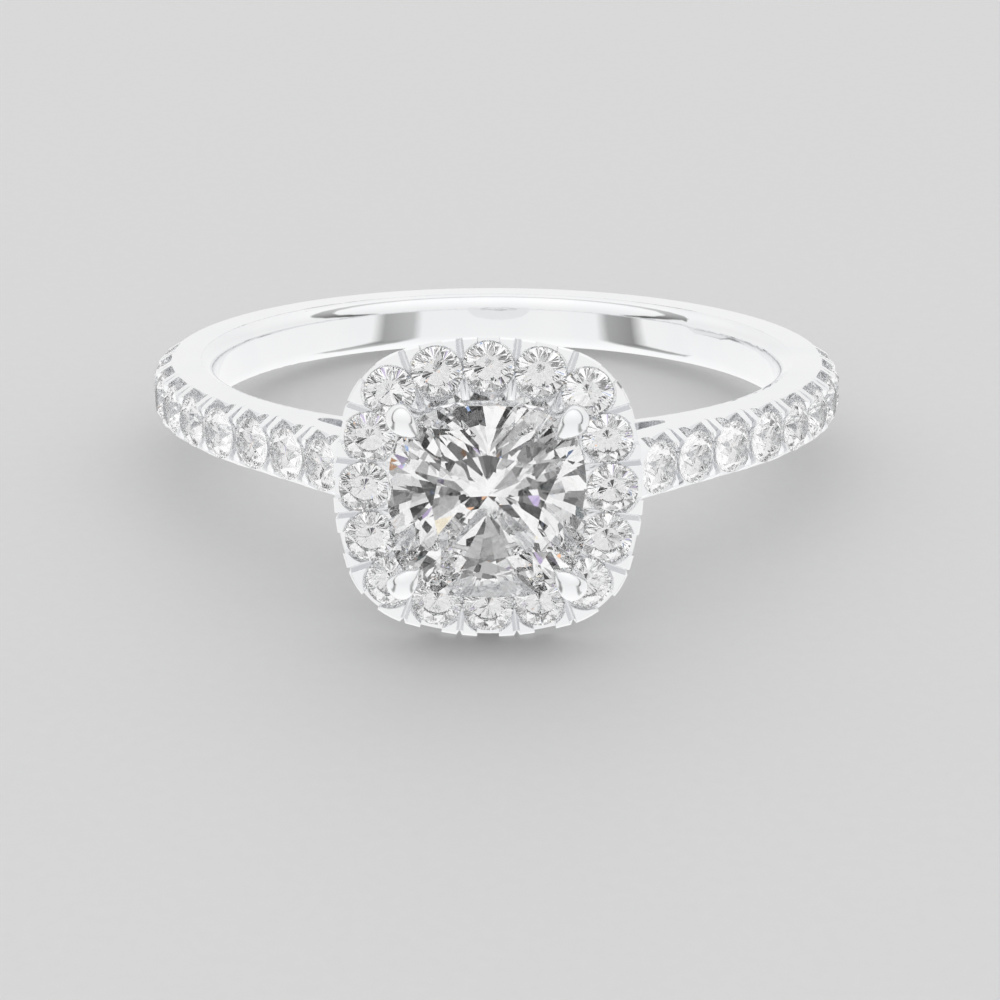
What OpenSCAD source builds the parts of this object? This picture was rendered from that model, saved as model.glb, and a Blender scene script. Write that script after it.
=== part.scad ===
// Diamond halo engagement ring: a cushion diamond in four claws, a cushion halo of round
// stones, and a slim shank with a row of round stones on each shoulder.
// Millimetres. The ring is worked out upright in its own frame, with the finger along Z, the
// head towards -Y and the shank's centre at the origin. It is then tipped as it rests on a
// table, on the halo's lower edge and the back of the shank, with the lowest point at Z = 0.

/* [Finger and shank] */
// Inner diameter, a US size 7
finger_d = 17.3; // [14:0.1:22]
// Width of the shank along the finger
band_w = 1.78; // [1.4:0.02:3]
// Radial thickness of the plain shank at its flanks
band_t = 1.36; // [1:0.02:2.5]
// How much the plain shank's outside swells past its flank edge
band_dome = 0.16; // [0.05:0.01:0.4]
// Radius of the rounded inner edges
comfort_r = 0.45; // [0.2:0.05:0.6]
// Length of the straight wall of the finger hole
bore_len = 0.86; // [0.5:0.02:1.5]

/* [Shoulder stones] */
// Stones on each shoulder
row_n = 9; // [9:1:9]
// Diameter of a shoulder stone
row_d = 1.5; // [1.2:0.02:1.54]
// Distance from one shoulder stone to the next
row_pitch = 1.58; // [1.5:0.01:1.8]
// Distance of the prong tops from the finger's axis
row_top = 10.42; // [10:0.01:11]
// Distance of the stones' girdles from the finger's axis
row_girdle = 10.27; // [10:0.01:10.8]
// Floor of the scallops between the prongs
row_floor = 9.98; // [9.8:0.01:10.2]
// Bottom of the grooves that split the prongs
row_groove_floor = 9.8; // [9.6:0.01:10]
// Angle below the side at which the shoulder leaves the circle and runs straight
shoulder_turn = 43; // [35:0.5:50]
// Angle of the last groove, measured from the side towards the back
row_end = 0; // [-5:0.5:5]

/* [Halo] */
// Half of the halo's width at its face
halo_half = 4.2; // [3.8:0.01:4.6]
// Distance of the halo's face from the finger's axis
halo_face = 12.42; // [12:0.01:13]
// Thickness of the halo
halo_t = 1.17; // [0.8:0.01:1.6]
// Stones in the halo
halo_n = 16; // [16:1:16]
// Diameter of a halo stone
halo_d = 1.34; // [1.2:0.01:1.35]
// Depth of the halo stones' girdles below the face
halo_sink = 0.13; // [0.05:0.01:0.3]
// Half of the width of the opening under the center stone
halo_open = 2.3; // [2.2:0.01:2.6]
// Bevel round the top of the opening
halo_bevel = 0.16; // [0.05:0.01:0.2]
// Bevel round the face's outside
halo_edge = 0.05; // [0.02:0.01:0.1]

/* [Center stone] */
// Half of the center stone's width
gem_half = 2.64; // [2.4:0.01:2.8]
// Squareness of its outline, 2 for a circle
gem_square = 3; // [2:0.1:5]
// Distance of its girdle from the finger's axis
gem_girdle = 13.72; // [13.5:0.01:14]
// Height of its crown
gem_crown = 0.56; // [0.4:0.01:0.9]
// Depth of its pavilion
gem_depth = 2.3; // [2:0.01:2.5]
// Thickness of its girdle
gem_belt = 0.09; // [0.05:0.01:0.2]
// Share of its width that the table takes
gem_table = 0.55; // [0.45:0.01:0.65]

/* [Claws and basket] */
// Radius of a claw's post
post_r = 0.33; // [0.25:0.01:0.4]
// Distance of the posts from the head's axis at the shank
post_foot = 0.9; // [0.8:0.05:1.4]
// Distance of the posts from the head's axis at the girdle
post_top = 3.34; // [3.2:0.01:3.6]
// Distance of a claw's tip from the head's axis
claw_tip = 2.74; // [2.6:0.01:3]
// Width of a claw
claw_w = 0.7; // [0.5:0.01:0.8]
// Radius of the wire of the lower rail
rail_r = 0.24; // [0.15:0.01:0.35]

/* [Hidden] */

$fn = 96;
// Air between a stone and its metal
gap = 0.03;
// How far one shape reaches into another that it joins
lap = 0.1;
// How far a cutter runs past the face that it opens
past = 0.5;

finger_r = finger_d / 2;
half_w = band_w / 2;
flank_r = finger_r + band_t;
// The metal under the head, between the finger and the window
bridge_r = finger_r + 0.78;
// Half of the bridge's angle
bridge_turn = 32;
// Where the plain shank stops and the window under each shoulder starts, from the side
window_turn = 60.5;
// The window's rounded end: its radius, and its center's height above the bridge
window_r = 0.17;
window_rise = 0.19;
// Thickness of the straight shoulders, their length, and how far they reach into the halo
shoulder_t = 1.05;
shoulder_len = 6.8;
shoulder_in = 0.15;
// Bevel along the edges that carry the shoulder stones
edge_bevel_w = 0.26;
edge_bevel_t = 0.42;
// Grooves between a pair of prongs, at their tops, and the scallops between pairs
groove_w = 0.2;
scallop_w = 1.0;
// How deep the shoulders' round part reaches into the shank, measured from the finger
row_inside = 0.6;
// Angle that the round part keeps clear of a groove, and runs on past the last stone
row_clear = 0.35;
// Angle from one stone to the next on the round part
row_step = row_pitch / row_girdle * 180 / PI;
// Stones on the round part
row_round = 6;
// How far along the straight shoulder its first stone lies
row_first = (row_round - 0.5) * row_pitch
    - (shoulder_turn + row_end) * PI / 180 * row_girdle;

halo_back = halo_face - halo_t;
// The halo's outline is four wide arcs and four corner arcs. The corners stand out a hair
// past the wide arcs, so that the two cross cleanly.
side_r = 7.3;
corner_r = 2.4;
corner_lift = 0.008;
// How far the halo's wall leans in from its face to its back
halo_lean = 0.3;
side_c = halo_half - side_r;
corner_c = (side_c + sqrt(2 * pow(side_r - corner_r + corner_lift, 2) - side_c * side_c)) / 2;
// Angle of a wide arc on each side of its middle
side_turn = atan2(corner_c, corner_c - side_c);
// The line on which the halo stones sit is a second cushion inside the outline
ring_in = 0.84;
ring_side_r = side_r - ring_in;
ring_corner_r = corner_r - ring_in;
ring_side_len = ring_side_r * side_turn * PI / 180;
ring_corner_len = ring_corner_r * (90 - 2 * side_turn) * PI / 180;
halo_pitch = (8 * ring_side_len + 4 * ring_corner_len) / halo_n;
// The notch in the wall beside each stone, and the grooves that part the prongs
notch_w = 0.6;
notch_depth = 0.2;
halo_groove_w = 0.19;
halo_groove_t = 0.28;
// How far inside the stones' line the grooves end
groove_in = 0.86;

// A seat's flat bottom, and how much it opens for each millimetre above the girdle
seat_tip = 0.12;
seat_flare = 0.6;

// How much more the table follows the corners than the outline does
table_corner = 1.4;
gem_corner = gem_half * pow(2, 0.5 - 1 / gem_square);
gem_table_r = gem_table * gem_half * (1 + (gem_corner / gem_half - 1) * table_corner);

// How much thicker a post is at the shank
post_flare = 1.15;
// Height of the posts' ends above the girdle, and depth of the claws' undersides below it
claw_rise = 0.12;
// Height of a claw's top above the girdle, and the radius of its dome
claw_top = 0.56;
claw_dome = 0.8;
// How far a claw reaches past the outside of its post, and the ball that joins the two
claw_heel = 0.2;
claw_ball_r = 0.38;
// Height of the lower rail above the middle between the shank and the halo
rail_rise = 0.2;

// The ring lies on the halo's lower edge, beside the middle notch, and on the lower edge of
// the shank's back. The tilt puts both of them at Z = 0.
touch = side_c + sqrt(side_r * side_r - notch_w * notch_w / 4);
tilt = atan2(touch - half_w, flank_r + halo_face - halo_edge);
rest_z = half_w * cos(tilt) + flank_r * sin(tilt);
// Puts the middle of the ring's box over the origin
rest_y = 2.19;

// Share of a round stone's radius that its table, crown, girdle and pavilion take
round_table = 0.56;
round_crown = 0.3;
round_belt = 0.05;
round_depth = 0.86;

metal = [0.9, 0.9, 0.91];
diamond = [0.93, 0.95, 0.97];

function point(r, a, z) = [r * cos(a), r * sin(a), z];

// Distance of a stone's outline from its axis at angle a: n of 2 is round, more is squarer
function rim(half, n, a) = half / pow(pow(abs(cos(a)), n) + pow(abs(sin(a)), n), 1 / n);

// Where two main facets meet, facet k and the next one, at the plan distances d0 and d1
function meet(k, d0, d1) = let (a = 45 * k)
    [cos(a) * d0 - sin(a) * (d1 - d0 * cos(45)) / sin(45),
     sin(a) * d0 + cos(a) * (d1 - d0 * cos(45)) / sin(45)];

// Where a plane across each corner parts the wide arcs, set in by inset, from the corner's arc
function corner_cut(inset) =
    (side_c + (side_r - inset) * (cos(side_turn) + sin(side_turn))) / sqrt(2);

// Height at p of the plane through a, b and c
function plane_z(a, b, c, p) = let (n = cross(b - a, c - a))
    a[2] - (n[0] * (p[0] - a[0]) + n[1] * (p[1] - a[1])) / n[2];

// A brilliant cut with its girdle at Z = 0. It has a table, 8 stars, 8 crown mains, 16 upper
// halves, a belt, 16 lower halves and 8 pavilion mains. cuts is the belt's faces to a half.
module brilliant(half, n, table, crown, belt, depth, cuts) {
    // The corners' mains take a little more of the table than the sides' do
    r = [for (k = [0:7]) rim(half, n, 45 * k)];
    t = [for (k = [0:7]) table * half * (k % 2 == 0 ? 1 : 1 + (r[1] / half - 1) * table_corner)];
    top = [for (k = [0:7]) point(t[k], 45 * k, belt / 2 + crown)];
    star_fall = 0.52;
    star = [for (k = [0:7]) let (j = (k + 1) % 8,
        q = meet(k, t[k] + (r[k] - t[k]) * star_fall, t[j] + (r[j] - t[j]) * star_fall))
        [q[0], q[1], belt / 2 + crown * (1 - star_fall)]];
    low_rise = 0.24;
    low = [for (k = [0:7]) let (j = (k + 1) % 8, q = meet(k, r[k] * low_rise, r[j] * low_rise))
        [q[0], q[1], -belt / 2 - depth * (1 - low_rise)]];
    // Belt corners: each main's middle, and the point between two mains, at mid in plan
    mid = [for (k = [0:7]) let (j = (k + 1) % 8, q = meet(k, r[k], r[j])) atan2(q[1], q[0])];
    turn = [for (k = [0:7]) each [45 * k, mid[k] < 0 ? mid[k] + 360 : mid[k]]];
    full = 16 * cuts;
    angle = [for (i = [0:full - 1]) let (s = floor(i / cuts), f = (i % cuts) / cuts,
        a0 = turn[s], a1 = s == 15 ? 360 : turn[s + 1]) a0 + (a1 - a0) * f];
    // The belt's upper and lower edges lie in the planes of the halves that meet them
    edge = [for (side = [1, -1]) [for (i = [0:full - 1]) let (
        s = floor(i / cuts), k = floor(s / 2), a0 = turn[s], a1 = s == 15 ? 360 : turn[s + 1],
        g = point(rim(half, n, a0), a0, side * belt / 2),
        h = point(rim(half, n, a1), a1, side * belt / 2),
        p = point(rim(half, n, angle[i]), angle[i], 0))
        [p[0], p[1], i % cuts == 0 ? side * belt / 2
            : plane_z(side > 0 ? star[k] : low[k], g, h, p)]]];
    culet = [0, 0, -belt / 2 - depth];
    star0 = 8;
    up0 = 16;
    down0 = up0 + full;
    low0 = down0 + full;
    tip = low0 + 8;
    polyhedron(
        points = concat(top, star, edge[0], edge[1], low, [culet]),
        faces = concat(
            [[for (k = [7:-1:0]) k]],
            [for (k = [0:7]) [k, (k + 1) % 8, star0 + k]],
            [for (k = [0:7]) [k, star0 + k, up0 + 2 * cuts * k, star0 + (k + 7) % 8]],
            [for (s = [0:15]) [star0 + floor(s / 2),
                for (i = [cuts:-1:0]) up0 + (s * cuts + i) % full]],
            [for (i = [0:full - 1]) let (j = (i + 1) % full)
                [up0 + i, up0 + j, down0 + j, down0 + i]],
            [for (s = [0:15]) [low0 + floor(s / 2),
                for (i = [0:cuts]) down0 + (s * cuts + i) % full]],
            [for (k = [0:7]) [tip, low0 + (k + 7) % 8, down0 + 2 * cuts * k, low0 + k]]));
}

module round_stone(d) {
    brilliant(d / 2, 2, round_table, d / 2 * round_crown, d / 2 * round_belt,
        d / 2 * round_depth, 1);
}

// The space that a round stone takes out of the metal. It opens outwards above the girdle.
module round_seat(d) {
    r = d / 2 + gap;
    low = d / 2 * round_belt / 2 + gap;
    drop = low + d / 2 * round_depth;
    rotate_extrude()
        polygon([[0, -drop], [seat_tip, -drop], [r, -low], [r, gap],
            [r + seat_flare * (past - gap), past], [0, past]]);
}

// A V-shaped groove along X, w wide at Z = 0 and t deep
module groove(len, w, t) {
    top = w / 2 * (t + past) / t;
    rotate([90, 0, 90])
        linear_extrude(height = len)
            polygon([[0, -t], [top, past], [-top, past]]);
}

// Places a thing made in the head's frame, with Z outwards from the finger
module on_head() {
    rotate([90, 0, 0])
        children();
}

// Places a thing on stone or groove i of the halo, with X outwards from the head's axis.
// i runs from the +X side's middle, and a half lies between two stones.
module on_halo(i) {
    s = i * halo_pitch;
    run = 2 * ring_side_len + ring_corner_len;
    quarter = floor((s + ring_side_len) / run);
    u = s - quarter * run;
    // Past the wide arc the place lies on the corner arc
    a = u > ring_side_len ? side_turn + (u - ring_side_len) / ring_corner_r * 180 / PI
        : u / ring_side_r * 180 / PI;
    c = u > ring_side_len ? [corner_c, corner_c] : [side_c, 0];
    r = u > ring_side_len ? ring_corner_r : ring_side_r;
    rotate(90 * quarter)
        translate([c[0] + r * cos(a), c[1] + r * sin(a), 0])
            rotate(a)
                children();
}

// Places a thing on the shoulder row, i = 1 at the halo's side and 9 at the back, with Z
// outwards from the shank and Y along it. side is 1 for +X and -1 for -X.
module on_row(i, side) {
    k = row_n - i;
    a = row_end + row_step * (0.5 - k);
    mirror([side < 0 ? 1 : 0, 0, 0])
        if (k < row_round - 0.25)
            rotate([0, 0, a])
                translate([row_girdle, 0, 0])
                    rotate([0, 90, 0])
                        children();
        else
            rotate([0, 0, -shoulder_turn])
                translate([row_girdle, -row_first - (k - row_round) * row_pitch, 0])
                    rotate([0, 90, 0])
                        children();
}

// Four wide arcs that cross, as cones of height h, r1 wide below and r2 above
module wide_arcs(r1, r2, h) {
    intersection_for (a = [0:90:270])
        rotate(a)
            translate([side_c, 0, 0])
                cylinder(h = h, r1 = r1, r2 = r2);
}

// A layer of the halo's body, h thick, with its wall set in by in1 below and by in2 above
module cushion(h, in1, in2) {
    difference() {
        wide_arcs(side_r - in1, side_r - in2, h);
        for (a = [45:90:315])
            rotate(a)
                translate([corner_cut(in1), 0, 0])
                    rotate([0, atan2(corner_cut(in2) - corner_cut(in1), h), 0])
                        translate([0, -halo_half, -past])
                            cube([halo_half, 2 * halo_half, h + 2 * past]);
    }
    for (a = [0:90:270])
        rotate(a)
            translate([corner_c, corner_c, 0])
                cylinder(h = h, r1 = corner_r - in1, r2 = corner_r - in2);
}

// The body with its bevelled edge, and the opening under the center stone
module halo_plate() {
    open_r = halo_open - side_c;
    wall_h = halo_t - halo_edge;
    translate([0, 0, halo_back])
        difference() {
            union() {
                cushion(wall_h, halo_lean, 0);
                translate([0, 0, wall_h])
                    cushion(halo_edge, 0, halo_edge);
            }
            translate([0, 0, -past])
                wide_arcs(open_r, open_r, halo_t + 2 * past);
            translate([0, 0, halo_t - 2 * halo_bevel])
                wide_arcs(open_r - halo_bevel, open_r + 2 * halo_bevel, 3 * halo_bevel);
        }
}

module halo_cuts() {
    for (i = [0:halo_n - 1]) {
        on_halo(i)
            translate([0, 0, halo_face - halo_sink])
                round_seat(halo_d);
        // The notch that opens the wall beside a stone
        on_halo(i)
            translate([halo_d / 4, -notch_w / 2, halo_face - notch_depth])
                cube([halo_d, notch_w, past + notch_depth]);
        // The groove that parts each pair of prongs, outside and inside the stones
        on_halo(i + 0.5)
            translate([-groove_in, 0, halo_face])
                groove(groove_in + ring_in + past, halo_groove_w, halo_groove_t);
    }
}

module halo_frame() {
    difference() {
        halo_plate();
        halo_cuts();
    }
}

// A post leans outwards from the shank to the girdle, on the diagonals
module posts() {
    foot_z = bridge_r - lap;
    top_z = gem_girdle + claw_rise;
    lean = atan2(post_top - post_foot, top_z - foot_z);
    for (a = [45:90:315])
        rotate(a)
            translate([post_foot, 0, foot_z])
                rotate([0, lean, 0])
                    cylinder(h = (top_z - foot_z) / cos(lean), r1 = post_r * post_flare, r2 = post_r);
}

// A claw is an almond in plan, from its tip to just outside its post, under a dome, with a
// ball where it joins the post
module claws() {
    reach = post_top + post_r + claw_heel - claw_tip;
    side = (reach * reach + claw_w * claw_w) / (4 * claw_w);
    low = gem_girdle - claw_rise;
    for (a = [45:90:315])
        rotate(a) {
            intersection() {
                translate([claw_tip + reach / 2, side - claw_w / 2, low])
                    cylinder(h = claw_dome, r = side);
                translate([claw_tip + reach / 2, claw_w / 2 - side, low])
                    cylinder(h = claw_dome, r = side);
                translate([claw_tip + reach / 2, 0, gem_girdle + claw_top - claw_dome])
                    sphere(r = claw_dome);
            }
            translate([post_top, 0, gem_girdle + claw_rise / 2])
                sphere(r = claw_ball_r);
        }
}

// The space that the center stone takes out of the claws
module gem_space() {
    r = gem_corner + gap;
    translate([0, 0, gem_girdle])
        rotate_extrude()
            polygon([[0, -gem_depth - gem_belt / 2 - 2 * gap], [r, -gem_belt / 2 - gap],
                [r, gem_belt / 2 + gap],
                [gem_table_r + gap, gem_belt / 2 + gem_crown + gap],
                [0, gem_belt / 2 + gem_crown + gap]]);
}

// The lower rail joins the four posts between the shank and the halo
module lower_rail() {
    rail_z = (bridge_r + halo_back) / 2 + rail_rise;
    share = (rail_z - bridge_r) / (gem_girdle - bridge_r);
    translate([0, 0, rail_z])
        rotate_extrude()
            translate([post_foot + (post_top - post_foot) * share, 0])
                circle(r = rail_r);
}

// The plain shank, from one shoulder round the back to the other
module plain_shank() {
    rotate([0, 0, -window_turn])
        rotate_extrude(angle = 180 + 2 * window_turn)
            shank_section(flank_r, band_dome);
}

// The shank's section: flat flanks, and an outside that swells by dome. The finger hole is
// cut from all of it later.
module shank_section(r, dome) {
    // The arc through both flank edges, dome proud of them
    arc_r = (half_w * half_w + dome * dome) / (2 * dome);
    intersection() {
        translate([finger_r - past, -half_w])
            square([r + dome - finger_r + 2 * past, band_w]);
        translate([r + dome - arc_r, 0])
            circle(r = arc_r);
    }
}

module bridge() {
    rotate([0, 0, -90 - bridge_turn])
        rotate_extrude(angle = 2 * bridge_turn)
            translate([finger_r - past, -half_w])
                square([bridge_r - finger_r + past, band_w]);
}

// Section of the band that carries the shoulder stones, with a bevel along its edges
module row_section(inside) {
    polygon([[inside, -half_w], [row_top - edge_bevel_t, -half_w],
        [row_top, -half_w + edge_bevel_w], [row_top, half_w - edge_bevel_w],
        [row_top - edge_bevel_t, half_w], [inside, half_w]]);
}

// The round and the straight part of a shoulder. They stop either side of a groove's middle.
module shoulder() {
    a_end = row_end + row_step + row_clear;
    a_start = row_end - row_step * (row_round - 1) + row_clear / 2;
    start = row_first - row_pitch / 2 + groove_w / 8;
    rotate([0, 0, a_start])
        rotate_extrude(angle = a_end - a_start)
            row_section(finger_r + row_inside);
    difference() {
        rotate([0, 0, -shoulder_turn])
            translate([0, -start, 0])
                rotate([90, 0, 0])
                    linear_extrude(height = shoulder_len - start)
                        row_section(row_top - shoulder_t);
        // The halo stones' seats stay clear
        translate([0, -halo_back - shoulder_in - halo_half, -half_w - past])
            cube([finger_r, halo_half, band_w + 2 * past]);
    }
}

module shoulder_cuts() {
    for (side = [-1, 1]) {
        for (i = [1:row_n]) {
            on_row(i, side)
                round_seat(row_d);
            // A scallop through the band under each stone
            on_row(i, side)
                translate([-half_w - past, -scallop_w / 2, row_floor - row_girdle])
                    cube([band_w + 2 * past, scallop_w, row_top - row_floor + past]);
        }
        // A groove between each stone and the next
        for (i = [1:row_n - 1])
            on_row(i + 0.5, side)
                translate([-half_w - past, 0, row_top - row_girdle])
                    groove(band_w + 2 * past, groove_w, row_top - row_groove_floor);
        // The rounded end of the window between the shoulder and the bridge
        mirror([side < 0 ? 1 : 0, 0, 0])
            rotate([0, 0, -window_turn])
                translate([bridge_r + window_rise, 0, -half_w - past])
                    cylinder(h = band_w + 2 * past, r = window_r);
    }
}

// The finger hole: a straight wall with rounded edges
module finger_hole() {
    rotate_extrude()
        difference() {
            translate([0, -half_w - past])
                square([finger_r + comfort_r, band_w + 2 * past]);
            for (s = [-1, 1])
                translate([finger_r + comfort_r, s * bore_len / 2])
                    circle(r = comfort_r);
            translate([finger_r, -bore_len / 2])
                square([comfort_r + past, bore_len]);
        }
}

// All the metal is cast and soldered, so it is one solid
module ring_mount() {
    color(metal)
        at_rest()
            difference() {
                union() {
                    plain_shank();
                    bridge();
                    shoulder();
                    mirror([1, 0, 0])
                        shoulder();
                    on_head()
                        halo_frame();
                    on_head()
                        posts();
                    on_head()
                        claws();
                    on_head()
                        lower_rail();
                }
                shoulder_cuts();
                finger_hole();
                on_head()
                    gem_space();
            }
}

module center_stone() {
    color(diamond)
        at_rest()
            on_head()
                translate([0, 0, gem_girdle])
                    brilliant(gem_half, gem_square, gem_table, gem_crown, gem_belt, gem_depth, 3);
}

module halo_stone(i) {
    color(diamond)
        at_rest()
            on_head()
                on_halo(i - 1)
                    translate([0, 0, halo_face - halo_sink])
                        round_stone(halo_d);
}

module row_stone(i, side) {
    color(diamond)
        at_rest()
            on_row(i, side)
                round_stone(row_d);
}

// Tips the ring as it lies on a table and puts the box's middle over the origin
module at_rest() {
    translate([0, rest_y, rest_z])
        rotate([-tilt, 0, 0])
            children();
}

module halo_stone_01() {
    halo_stone(1);
}

module halo_stone_02() {
    halo_stone(2);
}

module halo_stone_03() {
    halo_stone(3);
}

module halo_stone_04() {
    halo_stone(4);
}

module halo_stone_05() {
    halo_stone(5);
}

module halo_stone_06() {
    halo_stone(6);
}

module halo_stone_07() {
    halo_stone(7);
}

module halo_stone_08() {
    halo_stone(8);
}

module halo_stone_09() {
    halo_stone(9);
}

module halo_stone_10() {
    halo_stone(10);
}

module halo_stone_11() {
    halo_stone(11);
}

module halo_stone_12() {
    halo_stone(12);
}

module halo_stone_13() {
    halo_stone(13);
}

module halo_stone_14() {
    halo_stone(14);
}

module halo_stone_15() {
    halo_stone(15);
}

module halo_stone_16() {
    halo_stone(16);
}

module right_stone_1() {
    row_stone(1, 1);
}

module right_stone_2() {
    row_stone(2, 1);
}

module right_stone_3() {
    row_stone(3, 1);
}

module right_stone_4() {
    row_stone(4, 1);
}

module right_stone_5() {
    row_stone(5, 1);
}

module right_stone_6() {
    row_stone(6, 1);
}

module right_stone_7() {
    row_stone(7, 1);
}

module right_stone_8() {
    row_stone(8, 1);
}

module right_stone_9() {
    row_stone(9, 1);
}

module left_stone_1() {
    row_stone(1, -1);
}

module left_stone_2() {
    row_stone(2, -1);
}

module left_stone_3() {
    row_stone(3, -1);
}

module left_stone_4() {
    row_stone(4, -1);
}

module left_stone_5() {
    row_stone(5, -1);
}

module left_stone_6() {
    row_stone(6, -1);
}

module left_stone_7() {
    row_stone(7, -1);
}

module left_stone_8() {
    row_stone(8, -1);
}

module left_stone_9() {
    row_stone(9, -1);
}

ring_mount();
center_stone();
halo_stone_01();
halo_stone_02();
halo_stone_03();
halo_stone_04();
halo_stone_05();
halo_stone_06();
halo_stone_07();
halo_stone_08();
halo_stone_09();
halo_stone_10();
halo_stone_11();
halo_stone_12();
halo_stone_13();
halo_stone_14();
halo_stone_15();
halo_stone_16();
right_stone_1();
right_stone_2();
right_stone_3();
right_stone_4();
right_stone_5();
right_stone_6();
right_stone_7();
right_stone_8();
right_stone_9();
left_stone_1();
left_stone_2();
left_stone_3();
left_stone_4();
left_stone_5();
left_stone_6();
left_stone_7();
left_stone_8();
left_stone_9();
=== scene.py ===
# %% [markdown]
# # A diamond halo ring
# A polished white gold ring lies on a table. It holds a cushion-cut diamond in four claws,
# a halo of round brilliants, and a row of them on each shoulder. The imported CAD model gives
# every piece its place and size. This lesson dresses it: finer stones, rounded claws,
# polished metal, and the white light tent of a jeweller's studio.

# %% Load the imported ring
import math

import bmesh
import bpy
import numpy as np
from mathutils import Matrix, Vector


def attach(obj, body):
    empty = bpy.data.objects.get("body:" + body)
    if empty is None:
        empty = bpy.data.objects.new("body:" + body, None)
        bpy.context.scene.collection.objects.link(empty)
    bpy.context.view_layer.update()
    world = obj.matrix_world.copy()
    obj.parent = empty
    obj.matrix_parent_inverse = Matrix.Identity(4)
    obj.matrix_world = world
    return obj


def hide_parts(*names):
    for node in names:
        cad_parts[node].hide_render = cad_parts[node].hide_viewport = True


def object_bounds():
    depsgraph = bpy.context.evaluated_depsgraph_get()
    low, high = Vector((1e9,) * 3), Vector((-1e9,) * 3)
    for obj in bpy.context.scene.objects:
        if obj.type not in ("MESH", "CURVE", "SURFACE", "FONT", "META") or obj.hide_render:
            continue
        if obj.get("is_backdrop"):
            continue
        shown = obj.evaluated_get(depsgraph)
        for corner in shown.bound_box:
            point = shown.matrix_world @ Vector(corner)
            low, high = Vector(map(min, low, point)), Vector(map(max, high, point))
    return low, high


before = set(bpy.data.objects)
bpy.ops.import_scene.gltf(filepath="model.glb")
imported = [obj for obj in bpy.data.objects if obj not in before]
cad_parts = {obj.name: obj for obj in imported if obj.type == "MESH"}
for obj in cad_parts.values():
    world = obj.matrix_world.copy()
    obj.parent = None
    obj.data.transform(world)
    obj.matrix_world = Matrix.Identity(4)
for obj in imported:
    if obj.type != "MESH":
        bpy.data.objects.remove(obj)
cad_low, cad_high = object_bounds()
mm = 0.001
print("CAD box in mm:", [round((h - l) / mm, 2) for l, h in zip(cad_low, cad_high)])

# %% [markdown]
# ## Where the ring lies
# The ring rests on the halo's lower edge and on the back of the shank, so it leans by a few
# degrees. Two frames follow from that, both in millimetres. The finger's frame has Z along
# the finger hole. The head's frame has Z out of the head, towards whoever looks at the
# stone. New pieces are worked out in the head's frame and then carried to their real place,
# so their numbers stay the ones a goldsmith would use.

# %% The resting frames
lean = math.radians(-8.3976)
hole_middle = Vector((0, 2.19, 2.342334))
finger_frame = (Matrix.Scale(mm, 4) @ Matrix.Translation(hole_middle)
                @ Matrix.Rotation(lean, 4, "X"))
head_frame = finger_frame @ Matrix.Rotation(math.radians(90), 4, "X")
head_axis = (head_frame.to_3x3() @ Vector((0, 0, 1))).normalized()
print("The head looks along", [round(c, 3) for c in head_axis])

# %% [markdown]
# ## The camera
# The photographer looks down at the ring by 24 degrees from close by, which makes the head
# larger than the back of the shank. A near camera with a long lens does the same here. A
# farther camera would flatten the ring and lift its back edge in the picture. It stands a
# hair to the right of the middle, and turns back by a degree.

# %% The camera
camera_data = bpy.data.cameras.new("Camera")
camera_data.lens = 109.89
camera_data.sensor_width = 36
camera_data.clip_start = 1 * mm
camera = bpy.data.objects.new("Camera", camera_data)
bpy.context.scene.collection.objects.link(camera)
camera.location = Vector((1.605, -85.492, 37.496)) * mm
camera.rotation_euler = [math.radians(angle) for angle in (65.943, -0.0266, 0.9907)]
bpy.context.scene.camera = camera
print("Camera distance in mm:", round(camera.location.length / mm, 1))

# %% [markdown]
# ## Small tools for finishes
# Colours are written as the hex codes of a screen and turned to linear light by one
# function, because Blender mixes light in linear values. Node trees could be clicked
# together by hand. Here one function adds a node with its settings and links, so a finish
# reads from top to bottom as a short list.


# %% Colours and nodes
def linear(code):
    """The linear colour of an sRGB hex code, with an alpha of 1. Each part is divided by
    12.92 near black, and raised to the power 2.4 after a small shift elsewhere."""
    parts = [int(code[i : i + 2], 16) / 255 for i in (1, 3, 5)]
    curve = [c / 12.92 if c <= 0.04045 else ((c + 0.055) / 1.055) ** 2.4 for c in parts]
    return (*curve, 1.0)


def add(tree, kind, settings=None, sockets=None, links=None):
    """Adds a node, sets its properties and sockets, and links its inputs from outputs."""
    node = tree.nodes.new(kind)
    for name, value in (settings or {}).items():
        setattr(node, name, value)
    for name, value in (sockets or {}).items():
        node.inputs[name].default_value = value
    for name, output in (links or {}).items():
        tree.links.new(output, node.inputs[name])
    return node


def material(name):
    """An empty node material and its tree."""
    made = bpy.data.materials.new(name)
    made.use_nodes = True
    made.node_tree.nodes.clear()
    return made, made.node_tree


print("The screen grey #808080 is", round(linear("#808080")[0], 3), "in linear light")


# %% [markdown]
# ## White gold
# The mount is cast in 14 carat white gold, plated with rhodium and buffed to a mirror. So it
# is metallic and nearly white, with a roughness close to nothing. Three things keep it from
# looking like a computer's chrome. Rhodium is not quite even, so the tone drifts over about
# 2 mm. Buffing leaves faint waves, a quarter of a millimetre long and under a micron deep,
# which bend a reflected line slightly. And a buff rounds every edge by a few hundredths of
# a millimetre: the Bevel node shades the edges that way, without a vertex more.

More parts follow.
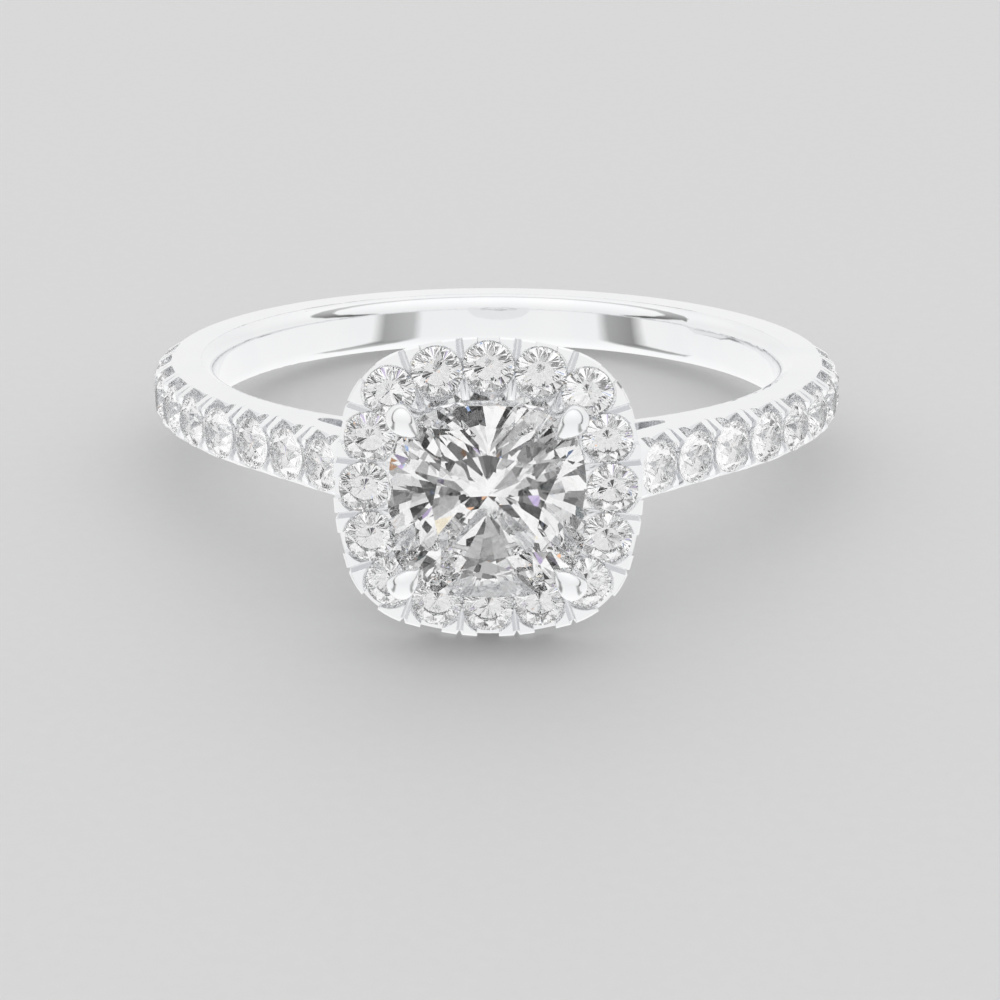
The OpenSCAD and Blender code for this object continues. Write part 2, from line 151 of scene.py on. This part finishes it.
# %% Polished white gold
gold, tree = material("polished_rhodium_plated_white_gold")
on_ring = add(tree, "ShaderNodeTexCoord").outputs["Object"]
drift = add(tree, "ShaderNodeTexNoise", sockets={"Scale": 1 / (2.0 * mm), "Detail": 2.0},
            links={"Vector": on_ring})
tone = add(tree, "ShaderNodeValToRGB", links={"Fac": drift.outputs["Fac"]})
tone.color_ramp.elements[0].color = linear("#EDEEF0")
tone.color_ramp.elements[1].color = linear("#F6F6F6")
buffing = add(tree, "ShaderNodeTexNoise", sockets={"Scale": 1 / (0.25 * mm), "Detail": 3.0},
              links={"Vector": on_ring})
gloss = add(tree, "ShaderNodeMapRange",
            sockets={"From Min": 0.3, "From Max": 0.7, "To Min": 0.02, "To Max": 0.045},
            links={"Value": buffing.outputs["Fac"]})
soft_edge = add(tree, "ShaderNodeBevel", {"samples": 2}, {"Radius": 0.045 * mm})
waves = add(tree, "ShaderNodeBump", sockets={"Strength": 0.1, "Distance": 0.004 * mm},
            links={"Height": buffing.outputs["Fac"], "Normal": soft_edge.outputs["Normal"]})
shader = add(tree, "ShaderNodeBsdfPrincipled", sockets={"Metallic": 1.0},
             links={"Base Color": tone.outputs["Color"], "Roughness": gloss.outputs["Result"],
                    "Normal": waves.outputs["Normal"]})
add(tree, "ShaderNodeOutputMaterial", links={"Surface": shader.outputs["BSDF"]})
print("Made", gold.name)

# %% [markdown]
# ## Diamond
# Diamond has a refractive index of 2.417 and is clear, so nearly all of its look comes from
# light that goes in, bounces off the lower facets and comes out again. The stone's own shape
# does that work, and the finish only has to be true and clear. Each facet is polished on
# its own, so each has a roughness of its own, kept as a value on the facet. The large
# stone's facets are perfectly clear. Most facets of the small stones, which are called
# melee, have a trace of haze. It hardly blurs, and it is there for another reason: a ray
# from a hazy facet sees the brighter one of two light tents, and that keeps the small
# stones white. The belt round a stone, its girdle, is only ground, so it is frosted.


# %% Diamond, large and small
def cut_diamond(name):
    """Clear diamond whose facets hold their own roughness in the value called polish."""
    made, tree = material(name)
    polish = add(tree, "ShaderNodeAttribute", {"attribute_name": "polish"})
    shader = add(tree, "ShaderNodeBsdfPrincipled",
                 sockets={"Base Color": linear("#FFFFFF"), "IOR": 2.417,
                          "Transmission Weight": 1.0},
                 links={"Roughness": polish.outputs["Fac"]})
    add(tree, "ShaderNodeOutputMaterial", links={"Surface": shader.outputs["BSDF"]})
    return made


diamond = cut_diamond("cushion_cut_diamond")
melee = cut_diamond("melee_diamond")
for name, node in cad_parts.items():
    node.data.materials.clear()
    node.data.materials.append(gold if name == "ring_mount" else diamond)
print("Made", diamond.name, "and", melee.name)

# %% [markdown]
# ## From a mesh to a piece
# Every new piece takes the place of something in the CAD model. So one function puts a mesh
# in the scene, gives it its finish, lets it ride on the ring, and hides the CAD nodes that
# it stands for. The mesh already holds the piece's place, and the object stays at the
# origin.


# %% Pieces
def show(name, mesh, finish, nodes):
    """Puts a mesh in the scene as a piece that rides on the ring, and hides the CAD nodes it
    stands for.
    """
    mesh.materials.clear()
    mesh.materials.append(finish)
    piece = bpy.data.objects.new(name, mesh)
    bpy.context.scene.collection.objects.link(piece)
    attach(piece, "root")
    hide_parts(*nodes)


print("CAD nodes that pieces can stand for:", len(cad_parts))

# %% [markdown]
# ## The mount
# The shank, the shoulders, the seats and the halo's plate are one casting, and the CAD model
# has all of them. Its mesh comes as loose triangles with a hard edge between each two. A
# copy is merged, and smoothed only where neighbours differ by less than 12 degrees: curves
# turn smooth, and every cut of the graver stays crisp. The CAD claws are plain, so the copy
# is cut off just above the halo's face, and better claws follow.

# %% The mount up to the halo's face
halo_face = 12.42
cut_height = halo_face + 0.01
weld_distance = 0.0005 * mm
crisp_from = math.radians(12)
bm = bmesh.new()
bm.from_mesh(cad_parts["ring_mount"].data)
bmesh.ops.remove_doubles(bm, verts=bm.verts, dist=weld_distance)
halved = bmesh.ops.bisect_plane(
    bm, geom=[*bm.verts, *bm.edges, *bm.faces], clear_outer=True,
    plane_co=head_frame @ Vector((0, 0, cut_height)), plane_no=head_axis)
rims = [item for item in halved["geom_cut"] if isinstance(item, bmesh.types.BMEdge)]
bmesh.ops.edgeloop_fill(bm, edges=rims)
open_edges = sum(edge.is_boundary for edge in bm.edges)
body_mesh = bpy.data.meshes.new("mount_body")
bm.to_mesh(body_mesh)
bm.free()
body_mesh.shade_smooth()
body_mesh.set_sharp_from_angle(angle=crisp_from)
show("mount_body", body_mesh, gold, ["ring_mount"])
print("Mount faces:", len(body_mesh.polygons), "open edges:", open_edges)

# %% [markdown]
# ## The claws
# Each claw is a wire that rises from the halo at a corner of the stone, bends over the
# girdle, and is filed to a leaf with its point towards the table. Box modelling could make
# it, but a swept surface is surer: rings across a path, wide across the claw and thin
# through it, whose size shrinks to the point. The path and both sizes are a short table,
# and one spline runs through its rows.

# %% The claw's path and the spline through it
# Columns: distance from the head's axis, height, half width, half thickness, in mm
claw_path = np.array([
    (2.45, 12.20, 0.33, 0.33),
    (2.89, 13.00, 0.34, 0.34),
    (3.16, 13.48, 0.36, 0.34),
    (3.31, 13.76, 0.38, 0.33),
    (3.29, 13.95, 0.375, 0.28),
    (3.15, 14.04, 0.36, 0.23),
    (2.98, 14.04, 0.31, 0.20),
    (2.82, 14.02, 0.24, 0.16),
    (2.67, 13.99, 0.14, 0.11),
    (2.52, 13.98, 0.004, 0.004),
])


def smooth_path(stations, count):
    """Values at count even places along stations, by a Catmull-Rom spline: a cubic through
    all rows, whose slope at a row is half the step between the rows beside it. One row is
    added past each end in a straight line."""
    p = np.vstack([2 * stations[0] - stations[1], stations, 2 * stations[-1] - stations[-2]])
    t = np.linspace(0, len(stations) - 1, count)
    i = np.minimum(t.astype(int), len(stations) - 2)
    f = (t - i)[:, None]
    a, b, c, d = p[i], p[i + 1], p[i + 2], p[i + 3]
    return 0.5 * (2 * b + (c - a) * f + (2 * a - 5 * b + 4 * c - d) * f**2
                  + (3 * b - 3 * c + d - a) * f**3)


print("Rows in the claw's table:", len(claw_path))


# %% Claws as swept leaves
def claw_points(turn, around=40, along=64):
    """A claw as rings round a path in the head's frame. The path lies in the upright plane at
    angle turn. Each ring is an ellipse across it: a point is the path's place, plus the half
    thickness times sine along the path's normal, plus the half width times cosine sideways."""
    rows = smooth_path(claw_path, along)
    out, up, wide, thick = rows.T[:, :, None]
    run = np.gradient(rows[:, :2], axis=0)
    run /= np.linalg.norm(run, axis=1)[:, None]
    v = np.linspace(0, 2 * np.pi, around, endpoint=False)
    # The path's normal in its plane is its run, turned by a quarter
    away = out + thick * np.sin(v) * run[:, 1:2]
    height = up - thick * np.sin(v) * run[:, 0:1]
    side = wide * np.cos(v)
    a = math.radians(turn)
    x = away * math.cos(a) - side * math.sin(a)
    y = away * math.sin(a) + side * math.cos(a)
    return np.stack([x, y, height], -1)


def claw_mesh(grids, place):
    """A mesh of closed tubes. Each grid is rings by points. Every ring joins the next one by
    four-sided faces, and a face closes the first ring and the last."""
    points, faces, base = [], [], 0
    for grid in grids:
        rings, around, _ = grid.shape
        here = np.arange(rings - 1)[:, None] * around + np.arange(around)
        beside = np.arange(rings - 1)[:, None] * around + (np.arange(around) + 1) % around
        quads = np.stack([here, beside, beside + around, here + around], -1).reshape(-1, 4)
        faces += (quads + base).tolist()
        faces.append((np.arange(around)[::-1] + base).tolist())
        faces.append((np.arange(around) + (rings - 1) * around + base).tolist())
        points.append(grid.reshape(-1, 3))
        base += rings * around
    mesh = bpy.data.meshes.new("claws")
    mesh.from_pydata(np.concatenate(points), [], faces)
    mesh.transform(place)
    bm = bmesh.new()
    bm.from_mesh(mesh)
    bmesh.ops.recalc_face_normals(bm, faces=bm.faces)
    bm.to_mesh(mesh)
    bm.free()
    mesh.shade_smooth()
    return mesh


claw_turns = (45, 135, 225, 315)
claws = claw_mesh([claw_points(turn) for turn in claw_turns], head_frame)
show("claws", claws, gold, ["ring_mount"])
print("Claw faces:", len(claws.polygons))

# %% [markdown]
# ## How a stone is cut
# A cutter grinds one flat facet after another, so a finished stone is convex, and its
# corners are the meet points where facets come together. That gives a short way to make
# one: place the meet points on rings round the stone's axis, and take their convex hull.
# Both outlines, round and cushion, come from one formula with a power that says how square
# the stone is.


# %% Outline and rings
def outline_at(half, square, a):
    """Distance of the outline at angle a: the half width over the sum of the cosine's and the
    sine's sizes, each raised to the square power, with the root of that power taken. A power
    of 2 is a circle, and more is squarer."""
    return half / (abs(np.cos(a)) ** square + abs(np.sin(a)) ** square) ** (1 / square)


def ring_of(half, square, count, offset, share, height):
    """Points on the stone's outline, drawn in to a share of it, at one height. The offset
    turns the ring, as a share of the step between two points."""
    a = (np.arange(count) + offset) * 2 * np.pi / count
    r = outline_at(half, square, a) * share
    return np.stack([r * np.cos(a), r * np.sin(a), np.full(count, height)], -1)


diagonal = outline_at(1, 3, math.pi / 4)
print("Diagonal of a cushion of power 3, over its width:", round(float(diagonal), 3))

# %% [markdown]
# ## The crown
# The crown is the part above the girdle. It has an eight-sided table, a star of eight
# triangles round it, eight kite-shaped main facets, and thin halves down to the girdle. All
# of them follow from where the tips of the star lie, so only those need working out.


# %% Meet points of the crown
def crown(half, square, table, rise, belt, corner, cuts):
    """The crown's meet points: 8 corners of the table, 8 tips of the stars, and the girdle's
    upper and lower edges with so many cuts. The table is a share of the half width, and its
    corners on the diagonals go out by the outline's own bulge, times corner. A star tip is
    where the lines of two neighbouring main facets cross, at a set share of the way down and
    out from the table to the girdle."""
    down = 0.52
    step = np.pi / 4
    a = np.arange(8) * step
    outline = outline_at(half, square, a)
    bulge = 1 + (outline[1] / half - 1) * corner
    t = table * half * np.where(np.arange(8) % 2 == 0, 1, bulge)
    top = np.stack([t * np.cos(a), t * np.sin(a), np.full(8, belt / 2 + rise)], -1)
    reach = t + (outline - t) * down
    lines = np.stack([np.stack([np.cos(a), np.sin(a)], -1),
                      np.stack([np.cos(a + step), np.sin(a + step)], -1)], 1)
    sides = np.stack([reach, np.roll(reach, -1)], -1)[..., None]
    meets = np.linalg.solve(lines, sides)[..., 0]
    tips = np.concatenate([meets, np.full((8, 1), belt / 2 + rise * (1 - down))], 1)
    return [top, tips, ring_of(half, square, cuts, 0, 1, belt / 2),
            ring_of(half, square, cuts, 0, 1, -belt / 2)]


round_crown = crown(1, 2, table=0.56, rise=0.3, belt=0.05, corner=1, cuts=32)
print("Meet points of a round crown:", sum(len(ring) for ring in round_crown))

# %% [markdown]
# ## From meet points to a polished stone
# Blender's hull gives triangles, and a limited dissolve joins those that lie in one plane to
# a real facet. The facets stay flat shaded, as a smoothed diamond looks like a pebble. Then
# each gets its polish. A table is always clear, because haze there would make the whole
# stone milky.

# %% Hull, facets and polish
girdle_frost = 0.3
melee_haze = 0.012


def cut_stone(name, rings, place, hazy_share=0.0, seed=0):
    """The stone's mesh: the convex hull of its meet points with flat neighbours joined, and
    each facet's roughness kept on it. A facet that faces sideways belongs to the girdle, and
    one that faces straight up is the table. The seed picks the hazy facets."""
    flat = math.radians(0.2)
    sideways = 0.05
    straight_up = 0.99
    bm = bmesh.new()
    for point in np.concatenate(rings):
        bm.verts.new(point)
    bmesh.ops.convex_hull(bm, input=bm.verts)
    bmesh.ops.delete(bm, geom=[v for v in bm.verts if not v.link_faces], context="VERTS")
    bmesh.ops.dissolve_limit(bm, angle_limit=flat, verts=bm.verts, edges=bm.edges)
    bmesh.ops.recalc_face_normals(bm, faces=bm.faces)
    mesh = bpy.data.meshes.new(name)
    bm.to_mesh(mesh)
    bm.free()
    normals = np.empty(len(mesh.polygons) * 3, dtype=np.float32)
    mesh.polygons.foreach_get("normal", normals)
    upward = normals[2::3]
    hazy = np.random.default_rng(seed).random(len(mesh.polygons)) < hazy_share
    hazy &= upward < straight_up
    polish = np.where(hazy, melee_haze, 0.0)
    polish = np.where(abs(upward) < sideways, girdle_frost, polish)
    values = mesh.attributes.new("polish", "FLOAT", "FACE").data
    values.foreach_set("value", polish.astype(np.float32))
    mesh.transform(place)
    return mesh


print("Roughness of a frosted girdle:", girdle_frost, "and of a hazy facet:", melee_haze)

# %% [markdown]
# ## The cushion stone
# The centre stone is a square with bulging sides and round corners, 5.3 mm across. It has a
# crushed pattern: long thin shards that fan out of the middle. A plain pavilion of 8 facets
# reflects in broad patches, so the lower facets here are two rings of 12 set between each
# other, and four small facets close round the culet, the stone's point. Each of those rings
# splits the light once more.

# %% Cut the cushion stone
gem_half = 2.64
gem_square = 3
gem_girdle = 13.72
gem_crown = crown(gem_half, gem_square, table=0.55, rise=0.56, belt=0.09, corner=1.4, cuts=64)
# Columns: points, turn as a share of a step, share of the outline, height below the girdle
pavilion = [(12, 0.25, 0.66, -0.9), (12, 0.75, 0.60, -1.05), (4, 0, 0.17, -2.087)]
culet = np.array([[0, 0, -2.345]])
gem_rings = gem_crown + [ring_of(gem_half, gem_square, *row) for row in pavilion] + [culet]
gem_mesh = cut_stone("cushion_stone", gem_rings,
                     head_frame @ Matrix.Translation((0, 0, gem_girdle)))
show("cushion_stone", gem_mesh, diamond, ["center_stone"])
print("Facets of the cushion stone:", len(gem_mesh.polygons))

# %% [markdown]
# ## The small stones
# 16 brilliants form the halo and 9 lie along each shoulder. The CAD model has each as a
# plain stone in its seat, and the new cut goes there: its axis is the direction in which
# the CAD stone is thinnest, and its height follows from the CAD stone's culet. Setters
# don't line the facets up, so each stone is turned by its own angle.

# %% Shape and place of a small stone
culet_depth = 0.885


def round_brilliant(half):
    """A round brilliant's meet points, for a stone with its girdle at Z = 0. Every measure is
    a share of its half width. The pavilion has 8 broad facets, which reach from the girdle
    to the culet, with thin halves between them."""
    above = crown(half, 2, table=0.56, rise=half * 0.3, belt=half * 0.05, corner=1, cuts=32)
    halves = ring_of(half, 2, 8, 0.5, 0.22, -half * 0.7)
    return above + [halves, np.array([[0, 0, -half * culet_depth]])]


def stone_frame(node, half):
    """A frame on a CAD stone in mm: origin in its girdle's middle, Z out of its table. The
    culet is further from the stone's middle than the table is, which tells up from down."""
    points = np.array([v.co for v in node.data.vertices])
    middle = points.mean(0)
    axis = np.linalg.svd(points - middle)[2][2]
    height = (points - middle) @ axis
    if height.max() > -height.min():
        axis, height = -axis, -height
    origin = points[height.argmin()] + axis * half * culet_depth * mm
    z = Vector(axis)
    x = z.orthogonal().normalized()
    turn = Matrix((x, z.cross(x), z)).transposed().to_4x4()
    return Matrix.Translation(origin) @ turn @ Matrix.Scale(mm, 4)


heights = np.concatenate(round_brilliant(0.67))[:, 2]
print("Depth of a halo stone in mm:", round(float(heights.max() - heights.min()), 3))

# %% [markdown]
# ## Setting the small stones
# The CAD stones lie 0.03 mm clear of the metal all round. The halo's stones grow into most
# of that gap, as real ones fill their seats. The shoulders' stones are drawn in by a hair,
# so that none stands out past the CAD model at the ring's sides.

# %% Cut and set the small stones
# Each stone is turned this much further about its axis than the last, in radians
turn_step = 2.4
hazy_facets = 0.9
small_nodes = sorted(set(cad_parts) - {"ring_mount", "center_stone"})
for count, name in enumerate(small_nodes):
    half, growth = (0.67, 0.025) if name.startswith("halo") else (0.75, -0.005)
    seat = stone_frame(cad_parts[name], half) @ Matrix.Rotation(count * turn_step, 4, "Z")
    mesh = cut_stone("cut_" + name, round_brilliant(half + growth), seat, hazy_facets, count)
    show("cut_" + name, mesh, melee, [name])
print("Small stones:", len(small_nodes), "with", len(mesh.polygons), "facets each")

# %% [markdown]
# ## The table under the ring
# The ring lies on pale card. Card is dull, so it shows a soft shadow and no reflection. Its
# fibres are about 0.04 mm wide, finer than a pixel. They are drawn ten times too coarse, so
# that a close view still shows a surface. A studio also throws light at the underside of a
# ring, so that its lower parts see white and not the shadow on the table. The card is
# therefore kept out of mirror reflections and out of the light that goes through stones.

# %% Card
card, tree = material("matt_white_card")
on_card = add(tree, "ShaderNodeTexCoord").outputs["Object"]
fibre = add(tree, "ShaderNodeTexNoise", sockets={"Scale": 1 / (0.4 * mm), "Detail": 3.0},
            links={"Vector": on_card})
shade = add(tree, "ShaderNodeValToRGB", links={"Fac": fibre.outputs["Fac"]})
shade.color_ramp.elements[0].color = linear("#D6D6D6")
shade.color_ramp.elements[1].color = linear("#DADADA")
shader = add(tree, "ShaderNodeBsdfPrincipled", sockets={"Roughness": 0.6},
             links={"Base Color": shade.outputs["Color"]})
add(tree, "ShaderNodeOutputMaterial", links={"Surface": shader.outputs["BSDF"]})
# Half the card's size in metres, so large that a low view doesn't reach its edge
far = 4
floor_mesh = bpy.data.meshes.new("floor")
floor_mesh.from_pydata([(-far, -far, 0), (far, -far, 0), (far, far, 0), (-far, far, 0)],
                       [], [(0, 1, 2, 3)])
floor_mesh.materials.append(card)
floor = bpy.data.objects.new("floor", floor_mesh)
bpy.context.scene.collection.objects.link(floor)
floor.visible_glossy = False
floor.visible_transmission = False
floor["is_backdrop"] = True
print("Card laid at Z = 0")

# %% [markdown]
# ## The light tent
# A jeweller photographs a ring inside a white tent, because polished metal shows whatever
# stands around it. The tent could be built from lamps and cloth, but a world that has a
# colour for each direction does the same and needs neither. An all-white tent would make
# the metal vanish, so black tape is hung in it: each curved piece then gets a thin dark
# line along its edge.


# %% Directions and tapes
def toward(azimuth, elevation):
    """The unit direction at an azimuth and an elevation, in degrees. An azimuth of 0 is the
    front, where the camera stands, and 90 is the right."""
    a, e = math.radians(azimuth), math.radians(elevation)
    return Vector((math.sin(a) * math.cos(e), -math.cos(a) * math.cos(e), math.sin(e)))


world = bpy.data.worlds.new("light_tent")
bpy.context.scene.world = world
world.use_nodes = True
tree = world.node_tree
background = tree.nodes["Background"]
direction = add(tree, "ShaderNodeTexCoord").outputs["Generated"]


def tape(axis, start, end, level, soft):
    """A tape hung in a circle round an axis. The angle from the axis is the arc cosine of the
    direction's dot product with it, in degrees. The light is level from start to end, and
    white elsewhere, with an edge of soft degrees on both sides."""
    dot = add(tree, "ShaderNodeVectorMath", {"operation": "DOT_PRODUCT"}, {1: axis},
              {0: direction}).outputs["Value"]
    angle = add(tree, "ShaderNodeMath", {"operation": "ARCCOSINE"}, links={0: dot}).outputs[0]
    share = add(tree, "ShaderNodeMath", {"operation": "DIVIDE"}, {1: math.pi}, {0: angle})
    node = add(tree, "ShaderNodeValToRGB", links={"Fac": share.outputs[0]})
    stops = node.color_ramp.elements
    stops[0].color = stops[1].color = (1, 1, 1, 1)
    for place, light in ((start - soft, 1), (start, level), (end, level), (end + soft, 1)):
        stops.new(min(max(place / 180, 0), 1)).color = (light, light, light, 1)
    return node.outputs["Color"]


def hang(tapes, clear=()):
    """Tapes hung over each other in the tent, as one colour for each direction: their light
    is multiplied. Where one of the clear areas is white, no tape hangs."""
    light = tapes[0]
    for mode, others in (("MULTIPLY", tapes[1:]), ("LIGHTEN", clear)):
        for other in others:
            light = add(tree, "ShaderNodeMix", {"data_type": "RGBA", "blend_type": mode},
                        {"Factor": 1.0}, {6: light, 7: other}).outputs[2]
    return light


print("World made:", world.name)

# %% [markdown]
# ## The metal's tent
# Three things shape the light on the metal. A wide arch of tape over the camera ends at
# the horizon, and gives the dark lines. Two soft black flags stand beside the camera: the
# inside of the shank shows them as a shade at each end of its bright middle. And the cloth
# itself is a little darker below than overhead.

# %% Tapes for the metal
up, back = toward(0, 90), toward(180, 0)
left, right = toward(-90, 0), toward(90, 0)
over_camera = toward(0, 52)
# Each of these is black where a tape may hang and white where it may not
not_below = tape(-up, 92, 180, 0.0, 2)
not_above = tape(up, 88, 180, 0.0, 3)
not_behind = tape(back, 95, 180, 0.0, 8)
arch = hang([tape(over_camera, 63, 70, 0.01, 1.5)], [not_below])
flags = hang([tape(left, 36.5, 40, 0.0, 9), tape(right, 45.5, 49, 0.0, 9)],
             [not_above, not_behind])
cloth = tape(up, 75, 180, 0.84, 60)
metal_light = hang([arch, flags, cloth])
print("Tapes hung for the metal")

# %% [markdown]
# ## The stones' tent
# Diamonds need the opposite of the metal, many dark and bright patches to break up, so they
# are lit in a second shot. Here a Voronoi pattern cuts the tent into cells, and each cell has
# one grey. A real diamond also splits white light into colours, which is called fire. The
# renderer leaves that out, so a few small coloured cells stand for it. A darker card hangs
# low in front of the large stone and keeps glare off its table.


# %% Patches for the stones
def patches(scale, levels):
    """Cells of the tent, each with one colour. Levels are (share of the cells, colour), and
    what is left stays white. More scale means smaller cells."""
    cells = add(tree, "ShaderNodeTexVoronoi", {"voronoi_dimensions": "3D"},
                {"Scale": scale, "Randomness": 1.0}, {"Vector": direction})
    pick = add(tree, "ShaderNodeSeparateColor", links={"Color": cells.outputs["Color"]})
    node = add(tree, "ShaderNodeValToRGB", links={"Fac": pick.outputs["Red"]})
    node.color_ramp.interpolation = "CONSTANT"
    stops = node.color_ramp.elements
    stops[0].color = levels[0][1]
    stops[1].color = (1, 1, 1, 1)
    place = levels[0][0]
    for share, colour in levels[1:]:
        stops.new(place).color = colour
        place += share
    stops.new(place).color = (1, 1, 1, 1)
    return node.outputs["Color"]


greys = patches(3.9, [(0.19, linear("#060606")), (0.10, linear("#707070")),
                      (0.11, linear("#B4B4B4")), (0.14, linear("#E0E0E0"))])
fire = patches(13.0, [(0.008, linear("#FFC08A")), (0.008, linear("#FFF4DC")),
                      (0.012, linear("#9FBDF0")), (0.006, linear("#CDB9E8")),
                      (0.008, linear("#DDF3F7"))])
low_card = tape(toward(0, -7), 0, 13, 0.25, 3)
stone_light = hang([greys, fire, low_card])
print("Patches set for the stones")

# %% [markdown]
# ## Two shots in one
# A photographer joins the metal's shot with the stones' shot. The Light Path node does it at
# once: a ray that last left a perfectly clear facet is called singular, and sees the stones'
# tent, and every other ray sees the metal's, those from hazy facets too. A polarising
# filter in the second shot takes away most of the glare on the outside of the facets, so a
# ray that only bounced off a stone sees an even grey. Light may bounce some twenty times
# inside a stone before it leaves, so the limits on bounces are set above that.

# %% Choose the tent for each ray
path = add(tree, "ShaderNodeLightPath")
outside = add(tree, "ShaderNodeMath", {"operation": "LESS_THAN"}, {1: 0.5},
              {0: path.outputs["Transmission Depth"]}).outputs[0]
filtered = add(tree, "ShaderNodeMix", {"data_type": "RGBA"}, {7: linear("#747474")},
               {"Factor": outside, 6: stone_light}).outputs[2]
seen = add(tree, "ShaderNodeMix", {"data_type": "RGBA"}, None,
           {"Factor": path.outputs["Is Singular Ray"], 6: metal_light, 7: filtered}).outputs[2]
tree.links.new(seen, background.inputs["Color"])
tent_strength = 1.12
background.inputs["Strength"].default_value = tent_strength
bpy.context.scene.view_settings.view_transform = "Standard"
bounces = 30
bpy.context.scene.cycles.max_bounces = bounces
bpy.context.scene.cycles.transmission_bounces = bounces
bpy.context.scene.cycles.glossy_bounces = bounces
print("Tent lit at strength", tent_strength, "with", bounces, "bounces")

# %% [markdown]
# ## Measure and finish
# The dressed ring must not grow past the CAD ring, so both boxes are measured and written
# down.

# %% Sizes
low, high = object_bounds()
for label, dressed, plain in (("low", low, cad_low), ("high", high, cad_high)):
    print("Visual less CAD,", label, "corner in mm:",
          [round((a - b) / mm, 3) for a, b in zip(dressed, plain)])
